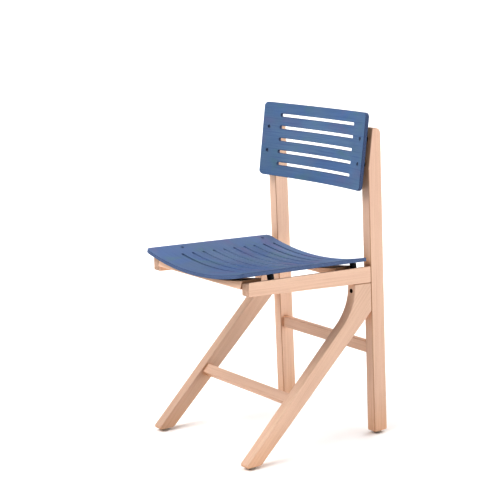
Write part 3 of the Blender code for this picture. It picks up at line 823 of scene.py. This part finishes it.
def panel_columns(panel):
    """Stations across a panel: (u, half height of the panel, half height of the slots)."""
    half_slot = SLOT_WIDTH / 2
    straight = SLOT_END - half_slot
    inner = panel["width"] / 2 - PANEL_CORNER
    quarter = [math.sin(math.pi / 2 * i / CORNER_STEPS) for i in range(CORNER_STEPS + 1)]
    stations = {straight * i / PANEL_STEPS for i in range(PANEL_STEPS)}
    stations |= {straight + half_slot * s for s in quarter}
    stations |= {SLOT_END + (inner - SLOT_END) * i / BORDER_STEPS
                 for i in range(1, BORDER_STEPS)}
    stations |= {inner + PANEL_CORNER * s for s in quarter}
    columns = []
    for u in sorted({sign * u for u in stations for sign in (-1, 1)}):
        over = max(0.0, abs(u) - inner)
        drop = PANEL_CORNER - math.sqrt(max(0.0, PANEL_CORNER ** 2 - over ** 2))
        past = abs(u) - straight
        opening = 0.0
        if past < half_slot * 0.999:
            opening = math.sqrt(half_slot ** 2 - max(0.0, past) ** 2)
        columns.append((u, panel["height"] / 2 - drop, opening))
    return columns


def panel_solid(panel):
    """Panel bent about its local Y axis, hollow side up, with slots running across it."""
    columns = panel_columns(panel)
    radius = panel["radius"]
    slots = [panel["first"] - panel["height"] / 2 + panel["pitch"] * i
             for i in range(panel["slots"])]
    points = []
    faces = []

    def pair(u, v):
        """Two new points, on the hollow face and behind it, by their numbers."""
        angle = u / radius
        for r in (radius, radius + PANEL_THICK):
            points.append(Vector((r * math.sin(angle), v, radius - r * math.cos(angle))))
        return len(points) - 2, len(points) - 1

    def wall(a, b):
        """A face through the thickness, between two pairs."""
        faces.append((a[0], b[0], b[1], a[1]))

    rows = []
    for u, edge, opening in columns:
        row = [pair(u, -edge)]
        for v in slots:
            row.append(pair(u, v - opening))
            row.append(pair(u, v + opening) if opening else row[-1])
        row.append(pair(u, edge))
        rows.append(row)
    for c in range(len(columns) - 1):
        near, far = rows[c], rows[c + 1]
        for k in range(0, len(near), 2):
            faces.append((near[k][0], far[k][0], far[k + 1][0], near[k + 1][0]))
            faces.append((near[k + 1][1], far[k + 1][1], far[k][1], near[k][1]))
        wall(far[0], near[0])
        wall(near[-1], far[-1])
        if columns[c][2] or columns[c + 1][2]:
            for k in range(1, len(near) - 1, 2):
                wall(near[k], far[k])
                wall(far[k + 1], near[k + 1])
    for row in (rows[0], rows[-1]):
        for k in range(0, len(row), 2):
            wall(row[k], row[k + 1])
    loops = [[p for i, p in enumerate(face) if p != face[i - 1]] for face in faces]
    return points, [loop for loop in loops if len(loop) > 2]


def unbend(panel):
    """Grain coordinates in the flat sheet: (up the panel, depth, along the width)."""
    radius = panel["radius"]

    def flat(p):
        out = math.hypot(p.x, radius - p.z)
        return Vector((p.y, out - radius, math.atan2(p.x, radius - p.z) * radius))
    return flat


def bent_panel(node, panel, screws):
    """The stained panel, with a stepped hole for each screw."""
    matrix = panel_matrix(panel)
    back = matrix.inverted()
    obj = link(f"{node}_panel", solid_mesh(node, [panel_solid(panel)]))
    dress(obj, panel["looks"])
    round_edges(obj, PANEL_ARRIS)
    holes = []
    head = SCREW["head"] + HEAD_ROOM
    shank = SCREW["radius"] + HEAD_ROOM
    for screw in screws:
        at = screw_frame(screw, screw_axis(screw, matrix.to_3x3().col[2]))[0]
        hole = turned([(-DRILL_REACH, shank), (-SCREW["deep"], shank), (-SCREW["deep"], head),
                       (HEAD_SINK, head), (HEAD_SINK + COUNTERSINK, head + COUNTERSINK)])
        holes.append(moved(hole, back @ at))
    settle(obj, [bore(obj, holes)])
    flat = unbend(panel)
    set_grain(obj, flat, Vector((0.31 * len(node), 0, 0.17)))
    veneer, edge, slot_wall = range(len(panel["looks"]))
    for face in obj.data.polygons:
        out = Vector((face.center.x, 0, face.center.z - panel["radius"])).normalized()
        across = abs(flat(face.center).z)
        inside = abs(face.center.y) < panel["height"] / 2 - PANEL_MARGIN
        if abs(face.normal.dot(out)) >= FACE_TURN:
            face.material_index = veneer
        # the seat's slot walls take a look of painted light
        elif inside and across < SLOT_END + SLOT_MARGIN:
            face.material_index = slot_wall
        else:
            face.material_index = edge
    obj.data.transform(matrix)
    stand_in(obj, node)


def spacer(node, axis):
    """Rubber spacer along a screw, from the frame up to the panel, slightly bulged."""
    at = Vector((0, 0, 1)).rotation_difference(axis).to_matrix().to_4x4()
    back = at.inverted()
    points = [back @ v.co for v in nodes[node].data.vertices]
    base = min(p.z for p in points)
    middle = Vector([(min(p[i] for p in points) + max(p[i] for p in points)) / 2
                     for i in range(2)] + [0.0])
    radius = (max(p.y for p in points) - min(p.y for p in points)) / 2
    top = [p for p in points if p.z > (base + max(q.z for q in points)) / 2]
    slopes = [np.polyfit([p[i] for p in top], [p.z for p in top], 1) for i in range(2)]
    way = max(range(2), key=lambda i: abs(slopes[i][0]))    # the one in which its top leans
    lean, start = slopes[way]

    def level(share, out, rise=0.0):
        """Ring of radius `out` at a share of the height, lifted by `rise`."""
        ring = []
        for p in circle(out, 0.0, FINE):
            spot = middle + p
            height = lean * spot[way] + start - base
            ring.append(Vector((spot.x, spot.y, base + share * height + rise)))
        return ring

    edge = SPACER_ARRIS
    hollow = SCREW["radius"] + 2 * GAP
    rings = [level(0, hollow), level(0, radius - edge),
             level(0, radius - edge * 0.3, edge * 0.3),
             level(0, radius, edge), level(0.3, radius + SPACER_BULGE * 0.8),
             level(0.5, radius + SPACER_BULGE), level(0.7, radius + SPACER_BULGE * 0.8),
             level(1, radius, -edge), level(1, radius - edge * 0.3, -edge * 0.3),
             level(1, radius - edge), level(1, hollow)]
    obj = link(f"{node}_rubber", solid_mesh(node, [ring_of(rings)]))
    dress(obj, ["black_rubber"])
    settle(obj)
    obj.data.set_sharp_from_angle(angle=math.radians(50))
    set_grain(obj, lambda p: p, Vector((0, 0, 0)))
    obj.matrix_world = at
    stand_in(obj, node)


# ---------------------------------------------------------------- feet
def glide(node, nail):
    """Turned foot with a softened rim, and the nail in its recess."""
    low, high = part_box(node)
    nail_low, nail_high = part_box(nail)
    radius = (high.x - low.x) / 2
    thick = high.z - low.z
    recess = (nail_high.x - nail_low.x) / 2 + GAP
    pin = NAIL_RADIUS + GAP
    seat = nail_low.z + NAIL_HEAD_DEEP + GAP
    profile = [(0.0005, recess), (0.0, recess + 0.0006)]    # the recess's mouth
    profile += rounded(0.0, radius, 0.0020, 5, top=False)
    profile += [(thick * 0.72, radius), (thick * 0.78, radius - 0.0005),
                (thick * 0.84, radius)]    # a groove near the top
    profile += rounded(thick, radius, 0.0006, 3)
    profile += [(thick, pin), (seat, pin), (seat, recess)]
    rings = [circle(out, height, FINE) for height, out in profile]
    obj = link(f"{node}_foot", solid_mesh(node, [ring_of(rings)]))
    dress(obj, ["glide_plastic"])
    settle(obj)
    obj.data.set_sharp_from_angle(angle=math.radians(40))
    set_grain(obj, lambda p: p, Vector((0, 0, 0)))
    obj.matrix_world = Matrix.Translation(((low.x + high.x) / 2, (low.y + high.y) / 2, low.z))
    stand_in(obj, node)


def keep_cad(node, material, axis):
    """Leave a hidden CAD piece as it is, with a proper material."""
    obj = nodes[node]
    set_grain(obj, along_axis(axis), Vector((0.05, 0.04, 0.0)))
    set_painted_light(obj, EVEN)
    obj.data.materials.clear()
    obj.data.materials.append(MATERIALS[material])


# ---------------------------------------------------------------- assembly
def build_timber():
    """Posts, seat rails, legs, cross rails and stretchers, each from its own bit of log."""
    index = 0
    low, high = SIDE_SHARES
    for side, share in (("left", high), ("right", low)):    # the cut nearer the outer face
        names = [f"{side}_rear_post", f"{side}_side_rail", f"{side}_front_leg"]
        outlines = {name: section(name, (1, 0, 0), share)[0] for name in names}
        for name in names:
            others = [outlines[other] for other in names if other != name]
            holes = []
            if name.endswith("front_leg"):
                axis = bolt_axis()
                at = screw_frame(f"{side}_leg_bolt", axis)[0]
                holes = [moved(turned([(-BOLT["deep"], BOLT_HOLE_RADIUS),
                                       (BOLT_HOLE_REACH, BOLT_HOLE_RADIUS)]), at)]
            piece = timber(name, (1, 0, 0), SIDE_SHARES, index, others, holes)
            if holes:
                darken_bore(piece, at)
            index += 1
    lean = fall_of(nodes["front_cross_rail"].data)
    for name in ("front_cross_rail", "rear_cross_rail"):
        timber(name, (0, math.cos(lean), -math.sin(lean)), CROSS_SHARES, index)
        index += 1
    for name in ("front_stretcher", "rear_stretcher"):
        stretcher(name, index)
        index += 1


def darken_bore(obj, at):
    """Give the inside of the bolt hole about `at`'s Z axis its own look: the painted shade of the
    bore.
    """
    back = at.inverted()
    for face in obj.data.polygons:
        spot = back @ face.center
        inside = abs(face.normal.dot(at.col[2].to_3d())) < 0.5 or spot.z < 0.0
        near = math.hypot(spot.x, spot.y) < BOLT_HOLE_RADIUS and spot.z < BOLT_HOLE_REACH
        if inside and near:
            face.material_index = TIMBER_LOOKS.index("bore")


def fall_of(mesh):
    """Downward slope, as an angle, of a cross rail's underside towards the back."""
    under = [f for f in mesh.polygons if f.normal.z < -0.9]
    normal = under[0].normal
    return math.atan2(normal.y, -normal.z)


def bolt_axis():
    """Direction out of the leg's bolt hole: square to the post's front face."""
    outline = section("left_rear_post", (1, 0, 0), POST_SHARE)[0]
    run = long_axis(outline)
    return Vector((0, -run.z, run.y)).normalized()


def build_panels():
    """Seat and backrest, with their screws and spacers."""
    panel_screw = None
    for node, panel in PANELS.items():
        kind = node.split("_")[0]
        screws = sorted(n for n in nodes if n.endswith(f"{kind}_screw"))
        bent_panel(node, panel, screws)
        for screw in screws:
            axis = screw_axis(screw, panel_matrix(panel).to_3x3().col[2])
            at, length = screw_frame(screw, axis)
            panel_screw = panel_screw or screw_mesh("panel_screw", SCREW, length)
            place_screw(screw, panel_screw, at)
            spacer(screw.replace("screw", "spacer"), axis)


def build_bolts():
    """The bolts of the legs, which share one mesh, and their hidden inserts."""
    axis = bolt_axis()
    bolt = None
    for side in ("left", "right"):
        at, length = screw_frame(f"{side}_leg_bolt", axis)
        bolt = bolt or screw_mesh("leg_bolt", BOLT, length)
        place_screw(f"{side}_leg_bolt", bolt, at)
        keep_cad(f"{side}_leg_insert", "dark_steel", axis)


def build_feet():
    """The glides and their nails."""
    for node in sorted(n for n in nodes if n.endswith("_glide")):
        glide(node, f"{node}_nail")
        keep_cad(f"{node}_nail", "dark_steel", Vector((0, 0, 1)))


def build_dowels():
    """The hidden dowels, as the CAD has them."""
    for node in sorted(n for n in nodes if "dowel" in n):
        low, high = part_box(node)
        size = high - low
        along = max(range(3), key=lambda i: size[i])
        keep_cad(node, "beech", Vector([float(i == along) for i in range(3)]))


def add_floor():
    """A floor wide enough to fill every view."""
    corners = [Vector((x * FLOOR_REACH, y * FLOOR_REACH, 0))
               for x, y in ((-1, -1), (1, -1), (1, 1), (-1, 1))]
    mesh = solid_mesh("floor", [(corners, [(0, 1, 2, 3)])])
    floor = link("floor", mesh)
    mesh.materials.append(floor_material())
    if mesh.polygons[0].normal.z < 0:
        mesh.flip_normals()


def soft_light(name, azimuth, elevation, strength):
    """A very wide lamp, far off. Azimuth is from the front, towards the sitter's left."""
    lamp = bpy.data.lights.new(name, "SUN")
    lamp.angle = math.radians(LIGHT_SPREAD)
    lamp.energy = strength * math.pi
    obj = link(name, lamp)
    turn, rise = math.radians(azimuth), math.radians(elevation)
    towards = Vector((math.sin(turn) * math.cos(rise), -math.cos(turn) * math.cos(rise),
                      math.sin(rise)))
    obj.rotation_euler = towards.to_track_quat("Z", "Y").to_euler()


def add_light():
    """The dome and the lamps."""
    world = bpy.data.worlds.new("studio")
    bpy.context.scene.world = world
    world.use_nodes = True
    sky = world.node_tree.nodes["Background"]
    sky.inputs["Color"].default_value = (1.0, 1.0, 1.0, 1.0)
    sky.inputs["Strength"].default_value = DOME
    for name, azimuth, elevation, strength in LIGHTS:
        soft_light(name, azimuth, elevation, strength)


def add_camera():
    """The camera, from three-quarters in front on the sitter's left."""
    lens = bpy.data.cameras.new("camera")
    lens.lens = CAMERA_LENS
    lens.sensor_width = SENSOR_WIDTH
    obj = link("camera", lens)
    turn = (Matrix.Rotation(math.radians(CAMERA_AZIMUTH), 4, "Z")
            @ Matrix.Rotation(math.radians(90 - CAMERA_PITCH), 4, "X")
            @ Matrix.Rotation(math.radians(CAMERA_ROLL), 4, "Z"))
    obj.matrix_world = Matrix.Translation(CAMERA_AT) @ turn
    bpy.context.scene.camera = obj


build_timber()
build_panels()
build_bolts()
build_feet()
build_dowels()
add_floor()
add_light()
add_camera()
bpy.context.scene.view_settings.view_transform = "Standard"
bpy.context.scene.view_settings.gamma = CONTRAST
